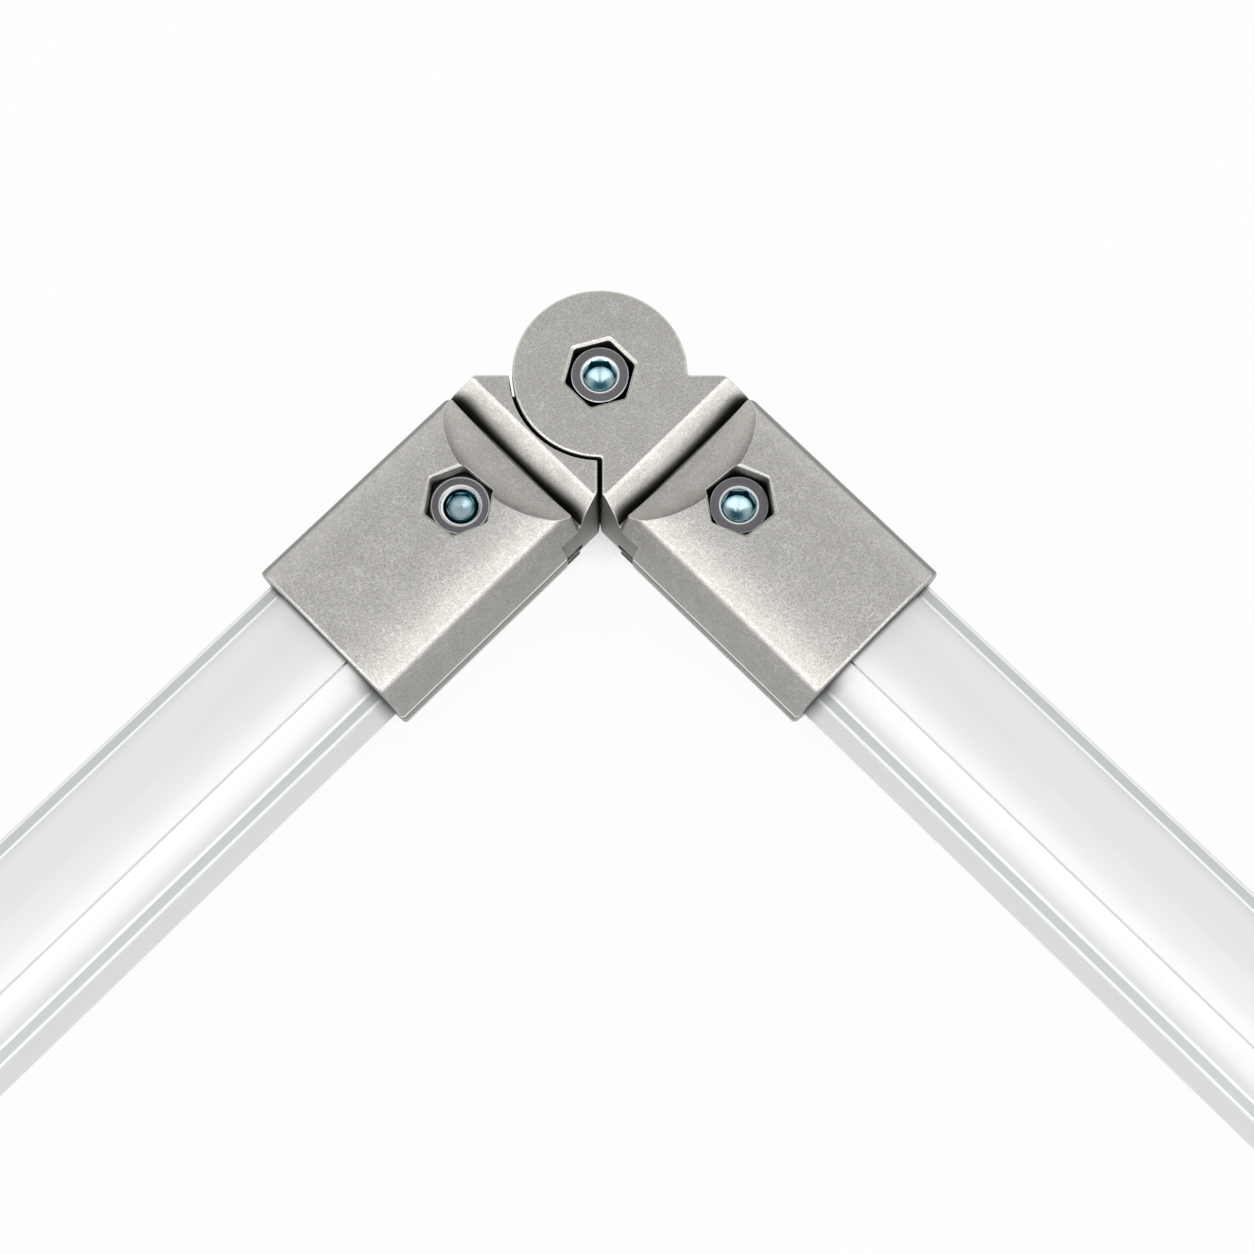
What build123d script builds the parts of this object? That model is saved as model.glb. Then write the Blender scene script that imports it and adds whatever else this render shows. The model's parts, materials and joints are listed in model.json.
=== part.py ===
from build123d import *
import math
import os

# Pivot joint that clamps two round aluminium profiles. All sizes are in millimetres.
#
# Each arm is modelled in its own frame: +X runs from the pivot axis along the arm, -Y is
# the inner side of the V, and Z = 0 is the plane where front and back castings part. The
# right arm is then turned into place, and the left arm is mirrored across the V's middle.

# ---- driving dimensions ----
included_angle = 90.0          # angle between the arms at the closing stop
stop_gap = 0.04                # each stop flank stands this far from the middle plane
running_gap = 0.05             # half of the gap between the two pivot discs

profile_radius = 15.0          # round profile, 30 mm across
profile_bore_radius = 11.6
profile_face_radius = 13.5     # recessed front and back faces, concentric with the profile
ledge_height = 7.3             # outer edge of the ledges beside the recessed faces
ledge_rise = 0.3               # how much a ledge climbs towards the recessed face
groove_offset = 5.9            # from the middle of the front face, towards the V's inner side
groove_radius = 0.15
profile_fit = 0.08             # radial clearance of the profile in the clamp
profile_start = 40.6           # where the profile butts against the shells' stop rib
profile_free_length = 116.0    # length that stands out of the clamp

disc_radius = 14.7
disc_clearance = 0.6           # gap between a disc and the other knuckle's crescent
knuckle_half_height = 12.2
knuckle_half_width = 16.4      # at the parting plane
knuckle_face_half_width = 14.5
knuckle_edge_radius = 0.5
shoulder_start = 15.6          # where the flat face rolls off towards the clamp
shoulder_slope = 37.0          # degrees below the flat face
shoulder_run = 2.2             # how far the slope runs before it rolls over
shoulder_radius = 7.2
flank_draft = 1.5              # degrees, on the stop flanks
neck_half_height = 7.6         # block under the lip of the shells
neck_end = 24.7
outer_flank_radius = 1.6       # rounded corner between the outer stop flank and the side
inner_flank_radius = 0.5
flank_blend_radius = 0.5       # where a disc meets the stop flanks
relief_start = 20.6            # shallow recess on the inner side of the neck
relief_depth = 1.2
relief_top = 0.9               # below the parting plane
relief_bottom = 6.2            # below the parting plane

tongue_half_height = 3.2
tongue_half_width = 8.5
tongue_end = 37.4
tongue_corner_radius = 3.0

shell_start = 20.75            # lip over the knuckle's neck
shell_end = 63.5
shell_half_width = 17.2        # at the parting plane
shell_face_half_width = 13.6
shell_half_height = 16.0
shell_flat_half_width = 2.5    # flat strip along the middle of the face
shell_crown = 2.3              # the long edges of the face lie this far below the strip
shell_corner_radius = 2.0
shell_wall = 2.4
shell_rim_radius = 0.6
shell_rib = 2.2
lip_end = 27.8                 # the lip is solid under the dished relief up to here
neck_gap = 0.3                 # between the neck and the shells
parting_gap = 0.08             # half of the gap between front and back shell
scoop_radius = 28.6            # dished relief in the shell's face, concentric with the pivot
scoop_depth = 6.7              # at the lip
scoop_dish_radius = 17.0

screw_station = 32.5           # clamp screw's distance from the pivot axis
boss_radius = 8.2
clamp_seat = 6.4               # clamp screw head and nut seats, from the parting plane
clamp_pocket_width = 10.4      # across flats
clamp_pocket_turn = 23.5       # a corner's angle from the arm axis, towards the outer side
clamp_hole_radius = 3.3
pivot_recess = 1.0             # the pivot screw's head lies this far below the disc's face
pivot_pocket_width = 10.6      # across flats
pivot_hole_radius = 3.05
pocket_corner_radius = 0.6
pocket_rim = 0.5               # chamfer round a pocket's mouth

thread_radius = 3.0            # M6
thread_gap = 0.02
head_radius = 5.0
head_height = 6.0
head_edge_radius = 0.35
socket_width = 5.0             # hex key size
socket_depth = 3.0
socket_chamfer = 0.35
socket_point = 1.0             # depth of the cone below the socket
pivot_screw_length = 16.0      # under the head
clamp_screw_length = 18.0
tip_chamfer = 0.6
tip_recess_width = 4.3         # hex recess formed in the screw's tip
tip_recess_depth = 1.0
tip_recess_point = 0.6
nut_width = 10.0               # across flats
nut_height = 5.7
nut_chamfer_slope = 30.0       # degrees
nut_countersink_radius = 3.5

# ---- derived places ----
pivot_seat = knuckle_half_height - pivot_recess - head_height
stop_turn = included_angle / 2.0
arm_turn = 90.0 - stop_turn
shoulder_turn = math.radians(shoulder_slope)
roll_start = shoulder_start + shoulder_run
roll_height = knuckle_half_height - shoulder_run * math.tan(shoulder_turn)
roll_rise = shoulder_radius * math.cos(shoulder_turn) - (roll_height - neck_half_height)
roll_middle = roll_start - shoulder_radius * math.sin(shoulder_turn)
neck_start = roll_middle + math.sqrt(shoulder_radius**2 - roll_rise**2)
shell_edge_height = shell_half_height - shell_crown
neck_room_end = neck_end + neck_gap
profile_end = shell_end + profile_free_length
clear = 2.0 * (shell_end + profile_radius)      # longer than any casting

UP = (Align.CENTER, Align.CENTER, Align.MIN)


def post(radius, low, high):
    """Upright cylinder on the frame's Z axis between two heights."""
    return Pos(0, 0, low) * Cylinder(radius, high - low, align=UP)


def hexagon(width, corner_radius=0.0):
    """Hexagon across flats with one corner on +X."""
    outline = RegularPolygon(width / 2.0, 6, major_radius=False)
    return fillet(outline.vertices(), corner_radius) if corner_radius else outline


def hex_pocket(width, seat, mouth):
    """Hex pocket from its seat to its mouth, with a chamfered rim."""
    pocket = Pos(0, 0, seat) * extrude(hexagon(width, pocket_corner_radius), mouth - seat + pocket_rim)
    rim = hexagon(width + 2 * pocket_rim, pocket_corner_radius)
    return pocket + Pos(0, 0, mouth) * extrude(rim, -pocket_rim, taper=45)


def along(section, start, end):
    """Section in the YZ plane swept along the arm from start to end."""
    return Pos(start, 0, 0) * extrude(section, end - start)


def casting_half(mid, flat, face, height, edge):
    """Upper half of a casting's section: flat strip, crowned face, sides square to the parting plane."""
    with BuildSketch(Plane.YZ) as section:
        with BuildLine():
            Line((-mid, 0), (mid, 0))
            Line((flat, height), (-flat, height))
            for side in (1, -1):
                TangentArc((side * mid, 0), (side * face, edge), tangent=(0, 1))
                if flat < face:
                    TangentArc((side * flat, height), (side * face, edge), tangent=(side, 0))
        make_face()
    return section.sketch


def shell_half(inset):
    """Section of a clamp shell, drawn in by an inset, with its two upper corners rounded."""
    section = casting_half(
        shell_half_width - inset, shell_flat_half_width, shell_face_half_width - inset / 2,
        shell_half_height - inset, shell_edge_height - inset,
    )
    corners = [corner for corner in section.vertices() if abs(corner.Z - shell_edge_height + inset) < 0.01]
    return fillet(corners, shell_corner_radius)


def profile_section(fit):
    """Outline of the round profile with its two recessed faces, grown by a clearance."""
    outer = profile_radius + fit
    face = profile_face_radius + fit
    low = ledge_height + fit
    top = low + ledge_rise
    edge = math.sqrt(outer**2 - low**2)
    lip = math.sqrt(face**2 - top**2)
    with BuildSketch(Plane.YZ) as section:
        with BuildLine():
            for side in (1, -1):
                ThreePointArc((side * edge, -low), (side * outer, 0), (side * edge, low))
                ThreePointArc((lip, side * top), (0, side * face), (-lip, side * top))
                for end in (1, -1):
                    Line((side * edge, end * low), (side * lip, end * top))
        make_face()
    return section.sketch


def upright_edges(solid, near_x, near_y, reach):
    """Edges that run mostly along Z, near a place seen from above."""
    found = []
    for edge in solid.edges():
        size = edge.bounding_box().size
        middle = edge @ 0.5
        off = math.hypot(middle.X - near_x, middle.Y - near_y)
        if size.Z > 3 * max(size.X, size.Y) and off < reach:
            found.append(edge)
    return found


def knuckle_half(disc_radius_here):
    """Upper half of a knuckle: rolled-off bar cut back to the stop flanks, with a disc if it has a radius."""
    turn = math.radians(stop_turn)
    apex = stop_gap / math.sin(turn)
    wide = 2 * knuckle_half_width
    far = apex + wide / math.tan(turn)
    wedge = Polygon((apex, 0), (far, -wide), (clear, -wide), (clear, wide), (far, wide), align=None)
    section = casting_half(
        knuckle_half_width, knuckle_face_half_width, knuckle_face_half_width,
        knuckle_half_height, knuckle_half_height,
    )
    half = along(section, 0, neck_end + knuckle_half_height)
    half &= extrude(wedge, knuckle_half_height, taper=flank_draft)
    corner_y = (knuckle_half_width + knuckle_face_half_width) / 2
    corner_x = apex + corner_y / math.tan(turn)
    half = fillet(upright_edges(half, corner_x, corner_y, 2.5), outer_flank_radius)
    half = fillet(upright_edges(half, corner_x, -corner_y, 2.5), inner_flank_radius)
    if disc_radius_here:
        half += post(disc_radius_here, running_gap, knuckle_half_height)
        rise = knuckle_half_height / 2 * math.tan(math.radians(flank_draft))
        root_x = disc_radius_here * math.cos(turn) + rise
        root_y = disc_radius_here * math.sin(turn)
        roots = upright_edges(half, root_x, root_y, 0.6) + upright_edges(half, root_x, -root_y, 0.6)
        half = fillet(roots, flank_blend_radius)
    half = fillet(half.edges().group_by(Axis.Z)[-1].sort_by(Axis.X)[:-1], knuckle_edge_radius)
    with BuildSketch(Plane.XZ) as elevation:
        with BuildLine():
            Polyline(
                (-clear, 0), (-clear, knuckle_half_height),
                (shoulder_start, knuckle_half_height), (roll_start, roll_height),
            )
            RadiusArc((roll_start, roll_height), (neck_start, neck_half_height), shoulder_radius)
            Polyline((neck_start, neck_half_height), (neck_end, neck_half_height), (neck_end, 0), (-clear, 0))
        make_face()
    return half & extrude(elevation.sketch, clear, both=True)


def knuckle(disc_side):
    """Knuckle casting: disc on one side (1 front, -1 back), crescent on the other, and a tongue."""
    body = knuckle_half(disc_radius) + mirror(knuckle_half(0), about=Plane.XY)
    body -= post(disc_radius + disc_clearance, -clear, running_gap)
    body -= post(pivot_hole_radius, -clear, clear)
    body -= hex_pocket(pivot_pocket_width, pivot_seat, knuckle_half_height)
    if disc_side < 0:
        body = Rot(180, 0, 0) * body

    tongue = Pos(neck_end, 0, 0) * Box(
        tongue_end - neck_end, 2 * tongue_half_width, 2 * tongue_half_height,
        align=(Align.MIN, Align.CENTER, Align.CENTER),
    )
    tongue = fillet(tongue.edges().filter_by(Axis.Z).group_by(Axis.X)[-1], tongue_corner_radius)
    body += tongue
    body -= Pos(screw_station, 0, 0) * post(clamp_hole_radius, -clear, clear)

    relief = Box(
        clear, clear, relief_bottom - relief_top, align=(Align.MIN, Align.MAX, Align.MAX)
    )
    body -= Pos(relief_start, -(knuckle_half_width - relief_depth), -relief_top) * relief
    return body


def shell(pocket_turn):
    """Front clamp shell, with one corner of its hex pocket at the given angle from the arm."""
    outer = along(shell_half(0), shell_start, shell_end)
    rims = outer.edges().group_by(Axis.X)
    ends = [edge for edge in rims[0] + rims[-1] if edge.bounding_box().max.Z > 1.0]
    outer = fillet(ends, shell_rim_radius)

    with BuildSketch(Plane.XZ) as scoop:
        with BuildLine():
            lip_edge = (shell_start, shell_half_height - scoop_depth)
            Polyline((0, clear), (0, lip_edge[1]), lip_edge)
            RadiusArc(lip_edge, (scoop_radius, shell_half_height), -scoop_dish_radius)
            Polyline((scoop_radius, shell_half_height), (scoop_radius, clear), (0, clear))
        make_face()
    outer -= revolve(scoop.sketch, axis=Axis.Z)

    core = along(shell_half(shell_wall), shell_start, profile_start - shell_rib)
    boss = Pos(screw_station, 0, 0) * post(boss_radius, tongue_half_height, clear)
    lip = Pos(shell_start, 0, neck_half_height) * Box(
        lip_end - shell_start, clear, clear, align=(Align.MIN, Align.CENTER, Align.MIN)
    )
    outer -= core - boss - lip
    outer -= Pos(-clear + neck_room_end, 0, 0) * Box(
        clear, clear, neck_half_height + neck_gap, align=(Align.MIN, Align.CENTER, Align.MIN)
    )
    outer -= along(profile_section(profile_fit), profile_start, shell_end + clear)
    outer -= Pos(screw_station, 0, 0) * (
        Rot(0, 0, pocket_turn) * hex_pocket(clamp_pocket_width, clamp_seat, shell_half_height)
        + post(clamp_hole_radius, -clear, clear)
    )
    return outer - Box(2 * clear, clear, parting_gap, align=UP)


def profile():
    """Hollow round profile with a fine groove along its front face."""
    groove_height = math.sqrt(profile_face_radius**2 - groove_offset**2)
    groove = Pos(-groove_offset, groove_height) * Circle(groove_radius)
    section = profile_section(0.0) - Plane.YZ * Circle(profile_bore_radius) - Plane.YZ * groove
    return along(section, profile_start, profile_end)


def screw(seat, length):
    """Socket head screw standing upright, with the underside of its head at the seat's height."""
    tip = seat - length
    head = fillet(post(head_radius, seat, seat + head_height).edges().group_by(Axis.Z)[-1], head_edge_radius)
    shank = chamfer(post(thread_radius, tip, seat).edges().group_by(Axis.Z)[0], tip_chamfer)
    top = seat + head_height
    floor = top - socket_depth
    across = socket_width / math.cos(math.radians(30))
    socket = Pos(0, 0, floor) * extrude(hexagon(socket_width), socket_depth)
    socket += Pos(0, 0, floor) * Rot(180, 0, 0) * Cone(socket_width / 2, 0, socket_point, align=UP)
    mouth = across / 2 + socket_chamfer / 2
    socket += Pos(0, 0, top - socket_chamfer) * Cone(mouth - socket_chamfer, mouth, socket_chamfer, align=UP)
    recess = Pos(0, 0, tip) * extrude(hexagon(tip_recess_width), tip_recess_depth)
    recess += Pos(0, 0, tip + tip_recess_depth) * Cone(tip_recess_width / 2, 0, tip_recess_point, align=UP)
    return head + shank - socket - recess


def nut(seat):
    """Hex nut standing on a seat, with both faces chamfered."""
    half = nut_width / 2
    slope = math.tan(math.radians(nut_chamfer_slope))
    drop = (half / math.cos(math.radians(30)) - half) * slope
    body = extrude(hexagon(nut_width), nut_height)
    chamfers = revolve(
        Plane.XZ * Polygon(
            (0, 0), (half, 0), (half + drop / slope, drop),
            (half + drop / slope, nut_height - drop), (half, nut_height), (0, nut_height), align=None,
        ),
        axis=Axis.Z,
    )
    body &= chamfers
    body -= post(thread_radius + thread_gap, -clear, clear)
    sink = nut_countersink_radius - thread_radius
    countersink = Cone(nut_countersink_radius, thread_radius, sink, align=UP)
    body -= countersink + Pos(0, 0, nut_height) * Rot(180, 0, 0) * countersink
    return Pos(0, 0, seat) * body


def arm(disc_side, head_side):
    """Pieces of one arm: which side carries the disc, and which side the clamp screw's head."""
    flip = Rot(0, 0, 0) if head_side > 0 else Rot(180, 0, 0)
    station = Pos(screw_station, 0, 0)
    squared = Rot(0, 0, arm_turn)
    turned = Rot(0, 0, clamp_pocket_turn)
    return {
        "knuckle": knuckle(disc_side),
        "front_shell": shell(clamp_pocket_turn),
        "back_shell": Rot(180, 0, 0) * shell(-clamp_pocket_turn),
        "profile": profile(),
        "clamp_screw": station * squared * flip * screw(clamp_seat, clamp_screw_length),
        "clamp_nut": station * turned * flip * Rot(180, 0, 0) * nut(clamp_seat),
    }


pieces = {}
for name, shape in arm(disc_side=1, head_side=1).items():
    pieces["right_" + name] = Rot(0, 0, -arm_turn) * shape
for name, shape in arm(disc_side=-1, head_side=-1).items():
    pieces["left_" + name] = mirror(Rot(0, 0, -arm_turn) * shape, about=Plane.YZ)
pieces["pivot_screw"] = screw(pivot_seat, pivot_screw_length)
pieces["pivot_nut"] = Rot(0, 0, arm_turn) * Rot(180, 0, 0) * nut(pivot_seat)

# the origin is under the middle of the whole joint, on the surface it lies on
box = Compound(list(pieces.values())).bounding_box()
shift = Pos(-(box.min.X + box.max.X) / 2, -(box.min.Y + box.max.Y) / 2, -box.min.Z)
print("pivot axis at", shift.position, "size", box.size)

os.makedirs("parts", exist_ok=True)
for name, shape in pieces.items():
    export_step(shift * shape, "parts/" + name + ".step")
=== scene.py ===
"""Looks of the profile pivot joint: finishes, small hardware detail, studio and camera.

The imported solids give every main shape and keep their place. This script dresses them, adds
the fine detail that the solids leave out, and lights and frames the joint as it lies flat.
Lengths are in metres in the part's own frame, +Z up.
"""

import json  # noqa: E402
import logging  # noqa: E402
import math  # noqa: E402
from dataclasses import dataclass, field, replace  # noqa: E402
from enum import Enum  # noqa: E402
from typing import Any, Sequence  # noqa: E402

import bpy  # noqa: E402
from mathutils import Matrix, Vector  # noqa: E402


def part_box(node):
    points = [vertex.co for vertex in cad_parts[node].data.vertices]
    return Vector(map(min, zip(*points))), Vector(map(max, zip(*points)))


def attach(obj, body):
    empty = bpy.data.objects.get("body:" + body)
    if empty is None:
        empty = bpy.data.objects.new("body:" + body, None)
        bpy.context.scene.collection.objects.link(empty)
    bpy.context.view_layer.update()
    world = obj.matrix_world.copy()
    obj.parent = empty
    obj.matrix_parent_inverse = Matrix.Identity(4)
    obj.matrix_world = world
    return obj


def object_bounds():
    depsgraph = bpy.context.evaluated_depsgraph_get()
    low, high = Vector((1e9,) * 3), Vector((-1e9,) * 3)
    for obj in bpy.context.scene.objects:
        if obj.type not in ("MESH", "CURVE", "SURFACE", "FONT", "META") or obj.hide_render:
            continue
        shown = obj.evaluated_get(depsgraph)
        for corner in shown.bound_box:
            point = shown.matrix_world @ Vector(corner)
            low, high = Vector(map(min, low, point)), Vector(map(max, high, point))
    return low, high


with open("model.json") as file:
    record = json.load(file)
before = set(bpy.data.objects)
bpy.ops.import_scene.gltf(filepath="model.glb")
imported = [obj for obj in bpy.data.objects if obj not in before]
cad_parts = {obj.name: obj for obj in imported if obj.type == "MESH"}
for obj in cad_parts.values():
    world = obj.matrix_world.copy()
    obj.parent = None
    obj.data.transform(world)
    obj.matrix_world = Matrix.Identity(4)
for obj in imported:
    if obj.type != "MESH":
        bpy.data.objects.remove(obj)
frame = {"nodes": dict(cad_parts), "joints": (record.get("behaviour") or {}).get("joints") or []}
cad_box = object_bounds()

log = logging.getLogger("pivot_joint")
Color = tuple[float, float, float]
Span = tuple[float, float]
Socket = bpy.types.NodeSocket
Outputs = dict[str, Socket]
MM = 0.001


class Hand(Enum):
    """Which arm of the V, as the sign of its X."""

    RIGHT = 1
    LEFT = -1


# ---------------------------------------------------------------- node helpers


def by_name(node: bpy.types.Node) -> Outputs:
    """A node's outputs by their names."""
    return {socket.name: socket for socket in node.outputs}


class Tree:
    """A node tree with short calls to add and join nodes."""

    def __init__(self, tree: bpy.types.NodeTree) -> None:
        """Keeps the tree and empties it."""
        self.tree = tree
        tree.nodes.clear()

    def add(self, kind: str, **values: Any) -> bpy.types.Node:
        """Adds a node.

        Args:
            kind: Blender's name of the node type.
            **values: attributes of the node. A name that is an input's, with underscores
                for its spaces, sets that input's default value.

        Returns:
            The new node.
        """
        node = self.tree.nodes.new(kind)
        for name, value in values.items():
            if hasattr(node, name) and name not in node.inputs:
                setattr(node, name, value)
            else:
                node.inputs[name.replace("_", " ")].default_value = value
        return node

    def feed(self, value: Any, target: Socket) -> None:
        """Gives an input a socket's value or a plain one.

        Args:
            value: a socket, or what the input holds.
            target: the input.
        """
        if isinstance(value, Socket):
            self.tree.links.new(value, target)
        else:
            target.default_value = value

    def math(self, operation: str, *values: Any, clamp: bool = False) -> Socket:
        """Adds a Math node.

        Args:
            operation: name of the operation.
            *values: its operands, numbers or sockets.
            clamp: limits the result to 0..1.

        Returns:
            The output socket.
        """
        node = self.add("ShaderNodeMath", operation=operation, use_clamp=clamp)
        for value, target in zip(values, node.inputs):
            self.feed(value, target)
        return node.outputs[0]

    def times(self, first: Any, *others: Any) -> Socket:
        """Multiplies values one after the other.

        Args:
            first: a number or a socket.
            *others: numbers or sockets.

        Returns:
            The output socket.
        """
        for other in others:
            first = self.math("MULTIPLY", first, other)
        return first

    def ramp(self, value: Socket, span: Span, result: Span = (0.0, 1.0)) -> Socket:
        """Smoothly maps a value from one span to another.

        Args:
            value: what is mapped.
            span: the values where the result begins and ends.
            result: the first and last result.

        Returns:
            The output socket.
        """
        node = self.add("ShaderNodeMapRange", interpolation_type="SMOOTHSTEP")
        self.feed(value, node.inputs["Value"])
        names = ("From Min", "From Max", "To Min", "To Max")
        for name, number in zip(names, (*span, *result)):
            node.inputs[name].default_value = number
        return node.outputs["Result"]

    def band(self, value: Socket, middle: float, half: float) -> Socket:
        """1 near a middle, falling to 0 at the edges of a band.

        Args:
            value: what is tested.
            middle: middle of the band.
            half: half of its width.

        Returns:
            The output socket.
        """
        off = self.math("ABSOLUTE", self.math("SUBTRACT", value, middle))
        return self.ramp(off, (half, half * 0.5))

    def mix(self, factor: Any, a: Any, b: Any) -> Socket:
        """Mixes two colours.

        Args:
            factor: 0 gives a and 1 gives b, a number or a socket.
            a: first colour or socket.
            b: second colour or socket.

        Returns:
            The output socket.
        """
        node = self.add("ShaderNodeMix", data_type="RGBA")
        self.feed(factor, node.inputs[0])
        for value, target in ((a, node.inputs[6]), (b, node.inputs[7])):
            self.feed(value if isinstance(value, Socket) else (*value, 1.0), target)
        return node.outputs[2]

    def vector(self, operation: str, *values: Any) -> Outputs:
        """Adds a Vector Math node.

        Args:
            operation: name of the operation.
            *values: its operands, vectors or sockets.

        Returns:
            Its outputs, Vector and Value.
        """
        node = self.add("ShaderNodeVectorMath", operation=operation)
        for value, target in zip(values, node.inputs):
            self.feed(value, target)
        return by_name(node)

    def split(self, value: Socket) -> Outputs:
        """Adds a Separate XYZ node.

        Args:
            value: a vector.

        Returns:
            Its outputs, X, Y and Z.
        """
        node = self.add("ShaderNodeSeparateXYZ")
        self.feed(value, node.inputs[0])
        return by_name(node)


class Group(Tree):
    """A shader node group with named inputs and outputs."""

    def __init__(self, name: str, inputs: dict[str, Any], outputs: Sequence[str]) -> None:
        """Starts the group.

        Args:
            name: the group's name.
            inputs: what each input holds at first, a number or three of them.
            outputs: names of the outputs, of which Normal is a vector.
        """
        group = bpy.data.node_groups.new(name, "ShaderNodeTree")
        for title, default in inputs.items():
            kind = "NodeSocketFloat" if isinstance(default, float) else "NodeSocketVector"
            socket = group.interface.new_socket(title, in_out="INPUT", socket_type=kind)
            socket.default_value = default
        for title in outputs:
            kind = "NodeSocketVector" if title == "Normal" else "NodeSocketFloat"
            group.interface.new_socket(title, in_out="OUTPUT", socket_type=kind)
        super().__init__(group)
        self.start = self.add("NodeGroupInput")
        self.end = self.add("NodeGroupOutput")

    def take(self, name: str) -> Socket:
        """The group's input of that name."""
        return self.start.outputs[name]

    def put(self, **values: Socket) -> bpy.types.NodeTree:
        """Feeds the group's outputs.

        Args:
            **values: what each output gives.

        Returns:
            The group.
        """
        for name, value in values.items():
            self.feed(value, self.end.inputs[name])
        return self.tree


class Surface(Tree):
    """A material's nodes: its one shader and the places of its points in the part's frame."""

    def __init__(self, name: str) -> None:
        """Starts the material.

        Args:
            name: the material's name.
        """
        self.material = bpy.data.materials.new(name)
        self.material.use_nodes = True
        super().__init__(self.material.node_tree)
        self.shader = self.add("ShaderNodeBsdfPrincipled")
        end = self.add("ShaderNodeOutputMaterial")
        self.feed(self.shader.outputs[0], end.inputs["Surface"])
        self.place = self.add("ShaderNodeTexCoord").outputs["Object"]

    def use(self, group: bpy.types.NodeTree, **values: Any) -> Outputs:
        """Places a node group.

        Args:
            group: the group.
            **values: its inputs, numbers or sockets.

        Returns:
            The group's outputs.
        """
        node = self.add("ShaderNodeGroup", node_tree=group)
        for name, value in values.items():
            self.feed(value, node.inputs[name])
        return by_name(node)

    def tint(self, tone: Any, *layers: tuple[Socket, Any, Color]) -> Socket:
        """Lays colours over a tone, one after the other.

        Args:
            tone: the colour or socket below.
            *layers: of each, where it is, how strongly it shows and its colour.

        Returns:
            The colour with its layers.
        """
        for mask, share, color in layers:
            tone = self.mix(self.times(mask, share), tone, color)
        return tone

    def bump(
        self, height: Socket, strength: float, distance: float, normal: Socket | None = None
    ) -> Socket:
        """Adds a Bump node.

        Args:
            height: how far the surface stands out.
            strength: share of the bump.
            distance: how high a height of 1 is.
            normal: the normal before the bump, or None for the surface's own.

        Returns:
            The normal after the bump.
        """
        node = self.add("ShaderNodeBump", Strength=strength, Distance=distance)
        self.feed(height, node.inputs["Height"])
        if normal is not None:
            self.feed(normal, node.inputs["Normal"])
        return node.outputs["Normal"]

    def finish(self, **values: Any) -> bpy.types.Material:
        """Feeds the shader.

        Args:
            **values: its inputs, with underscores for the spaces in their names.

        Returns:
            The material.
        """
        for name, value in values.items():
            self.feed(value, self.shader.inputs[name.replace("_", " ")])
        return self.material


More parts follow.
